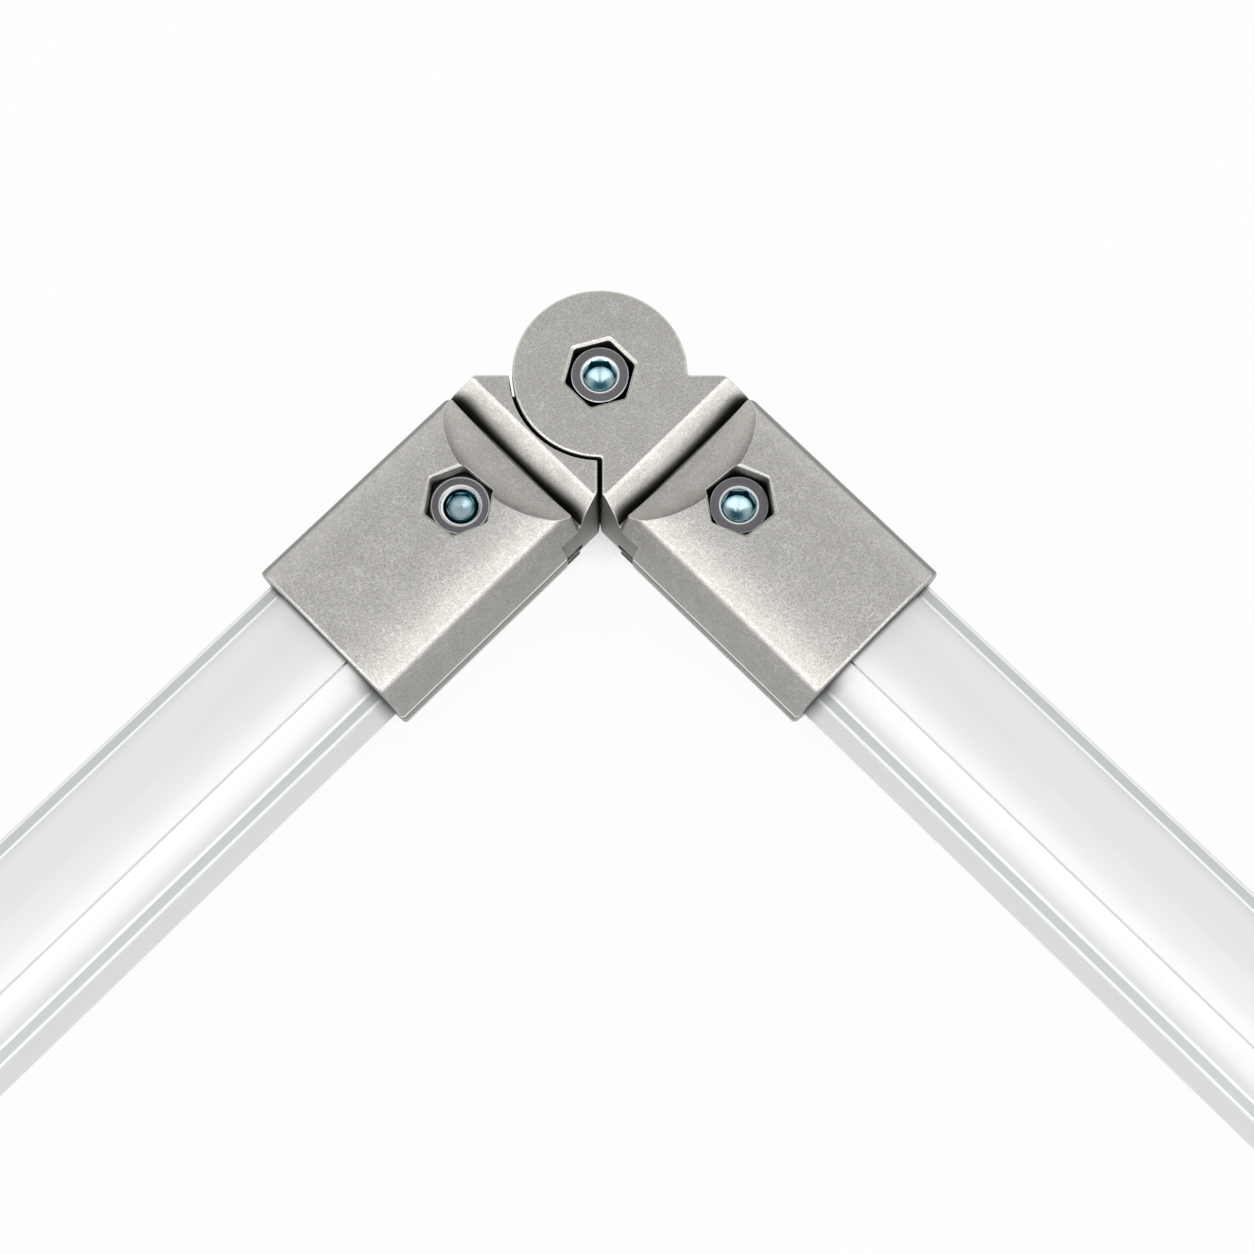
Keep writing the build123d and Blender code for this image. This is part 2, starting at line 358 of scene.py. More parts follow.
@dataclass
class Effects:
    """Shader node groups that more than one finish uses.

    A span holds the two values between which an effect comes in. A share is a noise's scale,
    or its weight, next to the finest one's.
    """

    fine_span: Span = (0.3, 0.7)
    curl_share: float = 0.34
    curl_span: Span = (0.055, 0.0)
    cloud_share: float = 0.09
    cloud_span: Span = (0.35, 0.65)
    pit_share: float = 0.8
    pit_weight: float = 0.5
    sharp_span: Span = (0.995, 0.88)
    flat_span: Span = (0.93, 0.985)
    steep_span: Span = (0.72, 0.42)
    away_span: Span = (-0.3, 0.2)
    ring_pitch: float = 0.25 * MM
    along_share: float = 0.012
    broad_share: float = 0.12
    grain: bpy.types.NodeTree = field(init=False)
    edges: bpy.types.NodeTree = field(init=False)
    facing: bpy.types.NodeTree = field(init=False)
    rings: bpy.types.NodeTree = field(init=False)
    streaks: bpy.types.NodeTree = field(init=False)

    def __post_init__(self) -> None:
        """Builds each group once."""
        self.grain = self._grain()
        self.edges = self._edges()
        self.facing = self._facing()
        self.rings = self._rings()
        self.streaks = self._streaks()

    def _grain(self) -> bpy.types.NodeTree:
        """Mottled grain of a blasted casting, in three sizes.

        Returns:
            The group, with outputs Fine, Curls (short curling strokes), Cloud and Height.
        """
        names = ("Fine", "Curls", "Cloud", "Height")
        group = Group("blasted_grain", {"Vector": (0, 0, 0), "Size": 1.0}, names)
        scale = group.math("DIVIDE", 1.0, group.take("Size"))
        fine = group.add("ShaderNodeTexNoise", Detail=3.0, Roughness=0.65)
        curls = group.add("ShaderNodeTexNoise", Detail=1.0, Roughness=0.5, Distortion=0.6)
        cloud = group.add("ShaderNodeTexNoise", Detail=4.0, Roughness=0.6)
        pits = group.add("ShaderNodeTexVoronoi", feature="F1", distance="EUCLIDEAN")
        shares = (1.0, self.curl_share, self.cloud_share, self.pit_share)
        for node, share in zip((fine, curls, cloud, pits), shares):
            group.feed(group.take("Vector"), node.inputs["Vector"])
            group.feed(group.times(scale, share), node.inputs["Scale"])
        line = group.math("ABSOLUTE", group.math("SUBTRACT", curls.outputs["Fac"], 0.5))
        bowl = group.times(pits.outputs["Distance"], self.pit_weight)
        return group.put(
            Fine=group.ramp(fine.outputs["Fac"], self.fine_span),
            Curls=group.ramp(line, self.curl_span),
            Cloud=group.ramp(cloud.outputs["Fac"], self.cloud_span),
            Height=group.math("ADD", fine.outputs["Fac"], bowl),
        )

    def _edges(self) -> bpy.types.NodeTree:
        """Where a surface turns sharply, the normal rounded over that radius, and what lies deep.

        Returns:
            The group, with outputs Mask, Normal and Open, which falls to 0 in gaps and corners.
        """
        names = ("Mask", "Normal", "Open")
        group = Group("rounded_edges", {"Radius": 0.2 * MM, "Reach": 2.0 * MM}, names)
        depth = group.add("ShaderNodeAmbientOcclusion", samples=8)
        group.feed(group.take("Reach"), depth.inputs["Distance"])
        bevel = group.add("ShaderNodeBevel", samples=6)
        group.feed(group.take("Radius"), bevel.inputs["Radius"])
        rounded = bevel.outputs["Normal"]
        plain = group.add("ShaderNodeNewGeometry").outputs["Normal"]
        alike = group.vector("DOT_PRODUCT", rounded, plain)["Value"]
        mask = group.ramp(alike, self.sharp_span)
        return group.put(Mask=mask, Normal=rounded, Open=depth.outputs["AO"])

    def _facing(self) -> bpy.types.NodeTree:
        """How a surface lies and how far it is from the plane where front and back part.

        Returns:
            The group, with outputs Flat (1 on flat faces), Steep (1 on upright sides), Back
            (1 on those that turn away from the V's open side, where painted shade goes) and
            Height.
        """
        names = ("Flat", "Steep", "Back", "Height")
        group = Group("lie_and_height", {"Vector": (0, 0, 0), "Middle": 0.0}, names)
        normal = group.split(group.add("ShaderNodeTexCoord").outputs["Normal"])
        lie = group.math("ABSOLUTE", normal["Z"])
        steep = group.ramp(lie, self.steep_span)
        away = group.ramp(normal["Y"], self.away_span)
        place = group.split(group.take("Vector"))
        height = group.math("SUBTRACT", place["Z"], group.take("Middle"))
        return group.put(
            Flat=group.ramp(lie, self.flat_span),
            Steep=steep,
            Back=group.times(steep, away),
            Height=group.math("ABSOLUTE", height),
        )

    def _rings(self) -> bpy.types.NodeTree:
        """Distance from an upright axis, for turned rings and for what lies inside a socket.

        Returns:
            The group, with outputs Radius, Inside and Rings.
        """
        inputs = {
            "Vector": (0, 0, 0),
            "Axis": (0, 0, 0),
            "Edge": 0.0,
            "Pitch": self.ring_pitch,
        }
        group = Group("round_an_axis", inputs, ("Radius", "Inside", "Rings"))
        away = group.vector("SUBTRACT", group.take("Vector"), group.take("Axis"))
        level = group.vector("MULTIPLY", away["Vector"], (1, 1, 0))
        radius = group.vector("LENGTH", level["Vector"])["Value"]
        turns = group.math("DIVIDE", radius, group.take("Pitch"))
        wave = group.math("SINE", group.times(turns, 2 * math.pi))
        return group.put(
            Radius=radius,
            Inside=group.math("LESS_THAN", radius, group.take("Edge")),
            Rings=group.math("MULTIPLY_ADD", wave, 0.5, 0.5),
        )

    def _streaks(self) -> bpy.types.NodeTree:
        """Fine lines drawn along an arm by extrusion.

        Returns:
            The group, with outputs Lines, Broad, Along (metres from the pivot) and Across
            (metres to the inner side).
        """
        inputs = {"Vector": (0, 0, 0), "Along": (1, 0, 0), "Across": (0, 1, 0), "Size": 1.0}
        group = Group("drawn_lines", inputs, ("Lines", "Broad", "Along", "Across"))
        parts = group.split(group.take("Vector"))
        along, across = (
            group.vector("DOT_PRODUCT", group.take("Vector"), group.take(name))["Value"]
            for name in ("Along", "Across")
        )
        place = group.add("ShaderNodeCombineXYZ")
        group.feed(group.times(along, self.along_share), place.inputs["X"])
        group.feed(across, place.inputs["Y"])
        group.feed(parts["Z"], place.inputs["Z"])
        scale = group.math("DIVIDE", 1.0, group.take("Size"))
        lines = group.add("ShaderNodeTexNoise", Detail=2.0, Roughness=0.6)
        broad = group.add("ShaderNodeTexNoise", Detail=2.0, Roughness=0.5)
        for node, share in ((lines, 1.0), (broad, self.broad_share)):
            group.feed(place.outputs["Vector"], node.inputs["Vector"])
            group.feed(group.times(scale, share), node.inputs["Scale"])
        return group.put(
            Lines=lines.outputs["Fac"], Broad=broad.outputs["Fac"], Along=along, Across=across
        )


# ---------------------------------------------------------------- finishes


@dataclass(frozen=True)
class CastFinish:
    """Blasted die casting: warm grey, mottled, lighter along its edges from wear and painted
    highlight, darker in its corners and on its sides from painted shade.

    The rim is the height above the parting plane from which a slope is a face's rounded rim,
    and the seam is the height of the bead along the edge where two halves part; both get a
    painted highlight, and the sides just below the seam get painted shade. A height of 1 m means
    that there is none. A share says how strongly an effect shows, and a span holds the two
    values between which it comes in. Where there are two shares, they are those of sides and of
    flat faces.
    """

    middle: float
    name: str = "die_cast"
    rim: float = 1.0
    seam: float = 1.0
    bead_half: float = 0.36 * MM
    below_seam: float = 0.30 * MM
    color: Color = (0.515, 0.502, 0.474)
    dark: Color = (0.325, 0.315, 0.292)
    stroke: Color = (0.70, 0.685, 0.655)
    # Colour of rubbed edges, also used as painted highlight on edges, the bead and the rim.
    wear_and_highlight: Color = (0.90, 0.89, 0.865)
    # Painted shade for upright sides, the sides below the seam, corners and gaps.
    painted_shade: Color = (0.030, 0.028, 0.026)
    speck_shares: Span = (0.7, 1.0)
    curl_share: float = 0.38
    cloud_share: float = 0.25
    side_shade_share: float = 0.27
    back_shade_share: float = 0.63
    below_seam_shade_share: float = 0.0
    edge_share: float = 0.5
    rim_share: float = 0.15
    grain: float = 0.30 * MM
    edge: float = 0.24 * MM
    reach: float = 4.0 * MM
    gap_shade_span: Span = (0.80, 0.18)
    dull_span: Span = (0.40, 0.15)
    roughness: float = 0.45
    speck_roughness: float = 0.07
    relief: float = 0.03 * MM
    relief_strength: float = 0.9
    relief_shares: Span = (0.44, 1.0)

    def _wear_and_highlight(self, surface: Surface, edges: Outputs, facing: Outputs) -> Socket:
        """Where the casting is rubbed lighter, and where painted highlight goes.

        Args:
            surface: the material's nodes.
            edges: sharp edges and gaps.
            facing: how the surface lies, and its height.

        Returns:
            1 on edges, which are rubbed and carry painted highlight, and on the bead and, weakly,
            a face's rim, which carry painted highlight.
        """
        slope = surface.math("SUBTRACT", 1.0, facing["Flat"])
        rim = surface.times(surface.math("GREATER_THAN", facing["Height"], self.rim), slope)
        bead = surface.band(facing["Height"], self.seam, self.bead_half)
        bead = surface.times(bead, facing["Steep"])
        wear_and_highlight = surface.math("MAXIMUM", surface.times(edges["Mask"], self.edge_share), bead)
        return surface.math("MAXIMUM", wear_and_highlight, surface.times(rim, self.rim_share))

    def _tone(self, surface: Surface, grain: Outputs, edges: Outputs, facing: Outputs) -> Socket:
        """Colour of the casting, with painted shade and painted highlight laid over its grain.

        Args:
            surface: the material's nodes.
            grain: its mottling.
            edges: sharp edges and gaps.
            facing: how the surface lies, and its height.

        Returns:
            The colour.
        """
        speck = surface.ramp(facing["Flat"], (0, 1), self.speck_shares)
        below = surface.ramp(facing["Height"], (self.seam, self.seam - self.below_seam))
        below = surface.times(below, facing["Steep"])
        inner_side = surface.math("SUBTRACT", facing["Steep"], facing["Back"])
        # After the grain come painted shade on upright sides, more on those turned away from the
        # V's open side, and painted shade just below the seam.
        tone = surface.tint(
            self.color,
            (grain["Fine"], speck, self.dark),
            (grain["Curls"], self.curl_share, self.stroke),
            (grain["Cloud"], self.cloud_share, self.dark),
            (inner_side, self.side_shade_share, self.painted_shade),
            (facing["Back"], self.back_shade_share, self.painted_shade),
            (below, self.below_seam_shade_share, self.painted_shade),
        )
        # Wear on edges, with painted highlight on edges, the bead and a face's rim.
        tone = surface.mix(self._wear_and_highlight(surface, edges, facing), tone, self.wear_and_highlight)
        # Painted shade in gaps and corners, where little sky is open.
        return surface.mix(surface.ramp(edges["Open"], self.gap_shade_span), tone, self.painted_shade)

    def material(self, effects: Effects) -> bpy.types.Material:
        """Builds the material.

        Args:
            effects: the shared groups.

        Returns:
            The material.
        """
        surface = Surface(self.name)
        grain = surface.use(effects.grain, Vector=surface.place, Size=self.grain)
        edges = surface.use(effects.edges, Radius=self.edge, Reach=self.reach)
        facing = surface.use(effects.facing, Vector=surface.place, Middle=self.middle)
        rough = surface.math("MULTIPLY_ADD", grain["Fine"], self.speck_roughness, self.roughness)
        dull = surface.ramp(edges["Open"], self.dull_span)
        share = surface.ramp(facing["Flat"], (0, 1), self.relief_shares)
        relief = surface.times(grain["Height"], share)
        return surface.finish(
            Base_Color=self._tone(surface, grain, edges, facing),
            Roughness=surface.math("MAXIMUM", rough, dull),
            Metallic=1.0,
            Normal=surface.bump(relief, self.relief_strength, self.relief, edges["Normal"]),
        )


@dataclass(frozen=True)
class KnuckleFinish(CastFinish):
    """Knuckle casting: painted highlight on its disc's rim, more painted shade on its neck's
    sides.
    """

    name: str = "die_cast_knuckle"
    rim: float = 11.75 * MM
    side_shade_share: float = 0.60


@dataclass(frozen=True)
class ShellFinish(CastFinish):
    """Casting of a clamp shell: painted highlight on the bead along its side, painted shade below
    it.
    """

    name: str = "die_cast_shell"
    seam: float = 2.4 * MM
    below_seam_shade_share: float = 0.35


@dataclass(frozen=True)
class AnodisedFinish:
    """Satin anodised aluminium, drawn along the profile.

    Distances across the profile are from its middle line: the corner is where its round top
    ends and the ledge beside it begins, and the edge is where the ledge ends. The mouth is
    where the profile leaves the clamp, from the pivot. A share says how strongly an effect
    shows, and a span holds the two values between which it comes in.
    """

    name: str
    hand: Hand
    pivot: Vector
    color: Color = (0.800, 0.800, 0.800)
    cool: Color = (0.735, 0.742, 0.745)
    # Painted shade on the round top's turn and on the ledge.
    shade: Color = (0.50, 0.53, 0.535)
    # Painted highlight on the corner and on the edge beside each ledge.
    painted_highlight: Color = (0.97, 0.985, 0.985)
    # Painted shade in the groove, in the mouth's gap and in its shadow.
    painted_shade: Color = (0.05, 0.055, 0.06)
    roughness: float = 0.4
    roughness_change: Span = (-0.03, 0.06)
    rough_span: Span = (0.2, 0.8)
    metallic: float = 0.12
    round_edge: float = 0.15 * MM
    line: float = 0.22 * MM
    line_depth: float = 0.01 * MM
    line_strength: float = 0.2
    line_span: Span = (0.35, 0.75)
    line_share: float = 0.2
    broad_span: Span = (0.3, 0.7)
    broad_share: float = 0.3
    scribe: float = 5.9 * MM
    scribe_half: float = 0.22 * MM
    scribe_share: float = 0.12
    turn_start: float = 9.0 * MM
    turn_share: float = 0.22
    corner: float = 11.25 * MM
    corner_half: float = 0.30 * MM
    ledge_start: float = 11.6 * MM
    ledge_heights: Span = (7.75 * MM, 7.70 * MM)
    ledge_share: float = 0.8
    edge: float = 13.1 * MM
    edge_fade: Span = (0.05 * MM, -0.15 * MM)
    edge_gleam: float = 0.10 * MM
    edge_half: float = 0.25 * MM
    gleam_heights: Span = (8.6 * MM, 8.2 * MM)
    mouth: float = 63.5 * MM
    reach: float = 1.3 * MM
    gap_shade_span: Span = (0.95, 0.5)
    dark_reach: Span = (1.6 * MM, 0.6 * MM)
    shadow_reach: float = 3.2 * MM
    shadow_share: float = 0.75
    shadow_side: float = 6.5 * MM

    def _body(self, surface: Surface, lines: Outputs) -> Socket:
        """Colour of the drawn surface, with painted shade on its round top's turn and in its fine
        groove.

        Args:
            surface: the material's nodes.
            lines: the drawn lines, and distances along and across.

        Returns:
            The colour.
        """
        broad = surface.ramp(lines["Broad"], self.broad_span, (0, self.broad_share))
        fine = surface.ramp(lines["Lines"], self.line_span, (0, self.line_share))
        across = surface.math("ABSOLUTE", lines["Across"])
        turn = surface.ramp(across, (self.turn_start, self.corner), (0, self.turn_share))
        tone = surface.mix(broad, self.color, self.cool)
        tone = surface.mix(fine, tone, self.cool)
        # Painted shade where the round top turns down towards its corner.
        tone = surface.mix(turn, tone, self.shade)
        # Painted shade in the fine groove.
        scribe = surface.band(lines["Across"], self.scribe, self.scribe_half)
        return surface.tint(tone, (scribe, self.scribe_share, self.painted_shade))

    def _sides(self, surface: Surface, tone: Socket, lines: Outputs, height: Socket) -> Socket:
        """Paints shade on the ledge at each side and painted highlight on the two edges beside it.

        Args:
            surface: the material's nodes.
            tone: the colour so far.
            lines: the drawn lines, and distances along and across.
            height: height from the middle plane.

        Returns:
            The colour.
        """
        across = surface.math("ABSOLUTE", lines["Across"])
        fade_start, fade_end = (self.edge + offset for offset in self.edge_fade)
        ledge = surface.times(
            surface.ramp(height, self.ledge_heights),
            surface.ramp(across, (self.corner, self.ledge_start)),
            surface.ramp(across, (fade_start, fade_end)),
        )
        low = surface.ramp(height, self.gleam_heights)
        # Painted shade on the ledge, painted highlight on the corner and on the edge.
        return surface.tint(
            tone,
            (ledge, self.ledge_share, self.shade),
            (surface.band(across, self.corner, self.corner_half), low, self.painted_highlight),
            (surface.band(across, self.edge + self.edge_gleam, self.edge_half), low, self.painted_highlight),
        )

    def _mouth(self, surface: Surface, tone: Socket, lines: Outputs, edges: Outputs) -> Socket:
        """Paints shade in the gap at the clamp's mouth and a painted shadow beside it.

        Args:
            surface: the material's nodes.
            tone: the colour so far.
            lines: the drawn lines, and distances along and across.
            edges: sharp edges and gaps.

        Returns:
            The colour.
        """
        near_span = tuple(self.mouth + reach for reach in self.dark_reach)
        near = surface.ramp(lines["Along"], near_span)
        shadow_span = (self.mouth + self.shadow_reach, self.mouth)
        shadow = surface.ramp(lines["Along"], shadow_span, (0, self.shadow_share))
        inner_side = surface.ramp(lines["Across"], (self.shadow_side, self.corner))
        # Painted shade in the mouth's gap and a painted shadow beside it.
        return surface.tint(
            tone,
            (surface.ramp(edges["Open"], self.gap_shade_span), near, self.painted_shade),
            (shadow, inner_side, self.painted_shade),
        )

    def material(self, effects: Effects) -> bpy.types.Material:
        """Builds the material.

        Args:
            effects: the shared groups.

        Returns:
            The material.
        """
        surface = Surface(self.name)
        side = self.hand.value
        lines = surface.use(
            effects.streaks,
            Vector=surface.vector("SUBTRACT", surface.place, self.pivot)["Vector"],
            Along=Vector((side, -1, 0)).normalized(),
            Across=Vector((-side, -1, 0)).normalized(),
            Size=self.line,
        )
        edges = surface.use(effects.edges, Radius=self.round_edge, Reach=self.reach)
        facing = surface.use(effects.facing, Vector=surface.place, Middle=self.pivot.z)
        tone = self._body(surface, lines)
        tone = self._sides(surface, tone, lines, facing["Height"])
        least, most = (self.roughness + change for change in self.roughness_change)
        return surface.finish(
            Base_Color=self._mouth(surface, tone, lines, edges),
            Roughness=surface.ramp(lines["Lines"], self.rough_span, (least, most)),
            Metallic=self.metallic,
            Normal=surface.bump(
                lines["Lines"], self.line_strength, self.line_depth, edges["Normal"]
            ),
        )


@dataclass(frozen=True)
class ZincFinish:
    """Zinc plated steel of a screw or nut: dark ring, painted highlight on the rim, cool socket.

    The socket, the well in it and the outside are radii from the axis. From the well to the
    socket's edge it is dark with painted shade, and a well that is wider than the piece leaves
    no dark band. The ring is half the width of the painted highlight on the chamfer round the
    socket.
    """

    name: str
    axis: Vector
    socket: float = 2.9 * MM
    outside: float = 4.86 * MM
    ring: float = 0.20 * MM
    ring_blur: float = 0.06 * MM
    rim_inset: float = 0.10 * MM
    rim_half: float = 0.13 * MM
    rim_share: float = 0.5
    well: float = 9.0 * MM
    well_fade: Span = (-0.20 * MM, 0.05 * MM)
    color: Color = (0.138, 0.132, 0.142)
    speck: Color = (0.205, 0.197, 0.208)
    # Painted highlight on the chamfer round the socket and on the outer rim.
    painted_highlight: Color = (0.80, 0.88, 0.90)
    inner: Color = (0.36, 0.48, 0.52)
    # Painted shade inside the socket: in its hollow, on its walls and out from the well.
    deep: Color = (0.014, 0.088, 0.110)
    dark: Color = (0.020, 0.020, 0.024)
    gleam: Color = (0.35, 0.50, 0.55)
    roughness: float = 0.28
    speck_roughness: float = 0.12
    socket_gloss: float = 0.7
    grain: float = 0.16 * MM
    reach: float = 1.2 * MM
    deep_span: Span = (0.97, 0.66)
    relief: float = 0.006 * MM
    relief_strength: float = 0.2

    def _inside(self, surface: Surface, radius: Socket, open_sky: Socket, steep: Socket) -> Socket:
        """Colour inside the socket, with painted shade in its hollow and on its walls.

        Args:
            surface: the material's nodes.
            radius: distance from the axis.
            open_sky: 1 where light reaches.
            steep: 1 on upright walls.

        Returns:
            The colour.
        """
        well_start, well_end = (self.well + offset for offset in self.well_fade)
        tone = surface.mix(surface.ramp(open_sky, self.deep_span), self.inner, self.deep)
        tone = surface.mix(steep, tone, self.deep)
        return surface.mix(surface.ramp(radius, (well_start, well_end)), tone, self.deep)

    def _painted_highlight(self, surface: Surface, radius: Socket, steep: Socket) -> Socket:
        """Painted highlight where the chamfer round the socket and the outer rim catch the light.

        Args:
            surface: the material's nodes.
            radius: distance from the axis.
            steep: 1 on upright walls.

        Returns:
            The mask.
        """
        rim = surface.band(radius, self.outside - self.rim_inset, self.rim_half)
        rim = surface.times(rim, self.rim_share)
        ring = surface.band(radius, self.socket + self.ring, self.ring + self.ring_blur)
        level = surface.math("SUBTRACT", 1.0, steep)
        return surface.times(surface.math("MAXIMUM", ring, rim), level)

    def material(self, effects: Effects) -> bpy.types.Material:
        """Builds the material.

        Args:
            effects: the shared groups.

        Returns:
            The material.
        """
        surface = Surface(self.name)
        place = surface.place
        rings = surface.use(effects.rings, Vector=place, Axis=self.axis, Edge=self.socket)
        grain = surface.use(effects.grain, Vector=place, Size=self.grain)
        steep = surface.use(effects.facing, Vector=place, Middle=self.axis.z)["Steep"]
        open_sky = surface.use(effects.edges, Reach=self.reach)["Open"]
        radius = rings["Radius"]
        outer = surface.mix(grain["Fine"], self.color, self.speck)
        inner = self._inside(surface, radius, open_sky, steep)
        side = surface.ramp(radius, (self.outside - self.rim_inset, self.outside))
        tone = surface.mix(rings["Inside"], outer, inner)
        tone = surface.mix(side, tone, self.dark)
        soft = (self.roughness, self.roughness + self.speck_roughness)
        relief = surface.math("ADD", rings["Rings"], grain["Height"])
        return surface.finish(
            Base_Color=surface.mix(self._painted_highlight(surface, radius, steep), tone, self.painted_highlight),
            Roughness=surface.times(
                surface.ramp(grain["Fine"], (0, 1), soft),
                surface.ramp(rings["Inside"], (0, 1), (1.0, self.socket_gloss)),
            ),
            Metallic=1.0,
            Normal=surface.bump(relief, self.relief_strength, self.relief),
            Specular_Tint=(*self.gleam, 1.0),
        )


# ---------------------------------------------------------------- the joint


def dress(node: str, material: bpy.types.Material) -> None:
    """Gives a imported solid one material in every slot.

    Args:
        node: the solid's name.
        material: its finish.
    """
    piece = frame["nodes"][node]
    for slot in piece.material_slots:
        slot.material = material
    if not piece.material_slots:
        piece.data.materials.append(material)
    low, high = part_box(node)
    size = [round(v / MM, 1) for v in high - low]
    log.info("%s: %s, %s mm", node, material.name, size)


def axis_of(node: str) -> Vector:
    """Middle of an upright solid, which its turned rings go round."""
    low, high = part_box(node)
    return (low + high) / 2


@dataclass
class ThreadLead:
    """The first turn of a nut's thread, a fine ridge that shows round the end of its screw.

    It winds down the nut's countersink and bore, from just under its face to past the end of
    the screw. The sections are triangles with two corners in the wall and one at the crest.
    """

    nut: str
    screw: str
    body: str
    upward: bool
    bore: float = 3.0 * MM
    mouth: float = 3.5 * MM
    start: float = 0.05 * MM
    past_tip: float = 0.45 * MM
    pitch: float = 1.0 * MM
    crest: float = 0.13 * MM
    half_width: float = 0.20 * MM
    root: float = 0.03 * MM
    least_depth: float = 0.01 * MM
    least_swell: float = 0.02
    taper: float = 1 / 6
    steps: int = 90

    def _wall(self, depth: float) -> float:
        """Radius of the nut's countersink or bore at a depth below its face."""
        return max(self.bore, self.mouth - depth)

    def _section(self, share: float, depth: float) -> list[tuple[float, float]]:
        """One section of the ridge.

        Args:
            share: how far along the ridge it is, 0 to 1.
            depth: its depth below the nut's face.

        Returns:
            Radius and depth of its three corners.
        """
        swell = min(1.0, share / self.taper, (1 - share) / self.taper) + self.least_swell
        wide = self.half_width * swell
        return [
            (self._wall(depth - wide) + self.root, depth - wide),
            (self._wall(depth) - self.crest * swell, depth),
            (self._wall(depth + wide) + self.root, depth + wide),
        ]

    def _points(self) -> list[tuple[float, float, float]]:
        """Corners of every section, in order along the ridge.

        Returns:
            Their places.
        """
        nut_low, nut_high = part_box(self.nut)
        screw_low, screw_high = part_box(self.screw)
        middle = (nut_low + nut_high) / 2
        sign = 1.0 if self.upward else -1.0
        face = nut_high.z if self.upward else nut_low.z
        tip = screw_high.z if self.upward else screw_low.z
        last = sign * (face - tip) + self.past_tip
        points: list[tuple[float, float, float]] = []
        for i in range(self.steps + 1):
            share = i / self.steps
            depth = self.start + (last - self.start) * share
            turn = 2 * math.pi * depth / self.pitch
            for radius, below in self._section(share, depth):
                x = middle.x + radius * math.cos(turn)
                y = middle.y - sign * radius * math.sin(turn)
                points.append((x, y, face - sign * max(below, self.least_depth)))
        return points

    def build(self, material: bpy.types.Material) -> None:
        """Adds the ridge.

        Args:
            material: the nut's finish.
        """
        points = self._points()
        count = len(points)
        faces: list[tuple[int, ...]] = [(2, 1, 0), (count - 3, count - 2, count - 1)]
        for i in range(self.steps):
            for j in range(3):
                a, b = 3 * i + j, 3 * i + (j + 1) % 3
                faces.append((a, b, b + 3, a + 3))
        mesh = bpy.data.meshes.new(f"{self.nut}_thread")
        mesh.from_pydata(points, [], faces)
        mesh.materials.append(material)
        piece = bpy.data.objects.new(f"{self.nut}_thread", mesh)
        bpy.context.scene.collection.objects.link(piece)
        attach(piece, self.body)
        log.info("%s: %d faces", piece.name, len(faces))


@dataclass
class Arm:
    """One arm: knuckle, two clamp shells, profile, clamp screw and nut.

    The right arm's clamp screw has its head in front, and the left arm's has its tip there.
    """

    hand: Hand
    effects: Effects
    pivot: Vector
    knuckle: bpy.types.Material
    shell: bpy.types.Material
    tip_radius: float = 2.95 * MM
    tip_well: float = 2.35 * MM
    countersink: float = 0.36 * MM
    nut_corner: Color = (0.080, 0.078, 0.082)
    # Painted highlight round the nut's countersink and rim.
    nut_painted_highlight: Color = (0.96, 1.0, 1.0)

    def name(self, part: str) -> str:
        """A solid's full name."""
        return f"{self.hand.name.lower()}_{part}"

    def _fasteners(self) -> None:
        """Dresses the clamp screw and its nut and adds the nut's thread."""
        tip_in_front = self.hand is Hand.LEFT
        screw, nut = self.name("clamp_screw"), self.name("clamp_nut")
        finish = ZincFinish(f"{screw}_zinc", axis_of(screw))
        if tip_in_front:
            finish = replace(finish, socket=self.tip_radius, well=self.tip_well)
        dress(screw, finish.material(self.effects))
        finish = ZincFinish(
            f"{nut}_zinc",
            axis_of(nut),
            ring=self.countersink,
            dark=self.nut_corner,
            painted_highlight=self.nut_painted_highlight,
        )
        material = finish.material(self.effects)
        dress(nut, material)
        ThreadLead(nut, screw, self.name("arm"), tip_in_front).build(material)

    def build(self) -> None:
        """Dresses every solid of the arm."""
        dress(self.name("knuckle"), self.knuckle)
        for part in ("front_shell", "back_shell"):
            dress(self.name(part), self.shell)
        profile = AnodisedFinish(self.name("anodised"), self.hand, self.pivot)
        dress(self.name("profile"), profile.material(self.effects))
        self._fasteners()


@dataclass
class Hinge:
    """The pivot screw and its nut, which turn with the left arm."""

    effects: Effects

    def build(self) -> None:
        """Dresses the screw and nut and adds the nut's thread."""
        for node in ("pivot_screw", "pivot_nut"):
            material = ZincFinish(f"{node}_zinc", axis_of(node)).material(self.effects)
            dress(node, material)
        ThreadLead("pivot_nut", "pivot_screw", "left_arm", False).build(material)


# ---------------------------------------------------------------- studio


@dataclass
class Softbox:
    """A large soft panel, aimed at the joint, that gives it gleams but no plain light."""

    name: str
    place: Vector
    size: tuple[float, float]
    power: float

    def build(self, target: Vector) -> None:
        """Adds the lamp.

        Args:
            target: what it is aimed at.
        """
        lamp = bpy.data.lights.new(self.name, "AREA")
        lamp.shape = "RECTANGLE"
        lamp.size, lamp.size_y = self.size
        lamp.energy = self.power
        piece = bpy.data.objects.new(self.name, lamp)
        piece.location = target + self.place
        piece.rotation_euler = (-self.place).to_track_quat("-Z", "Y").to_euler()
        piece.visible_diffuse = False
        bpy.context.scene.collection.objects.link(piece)


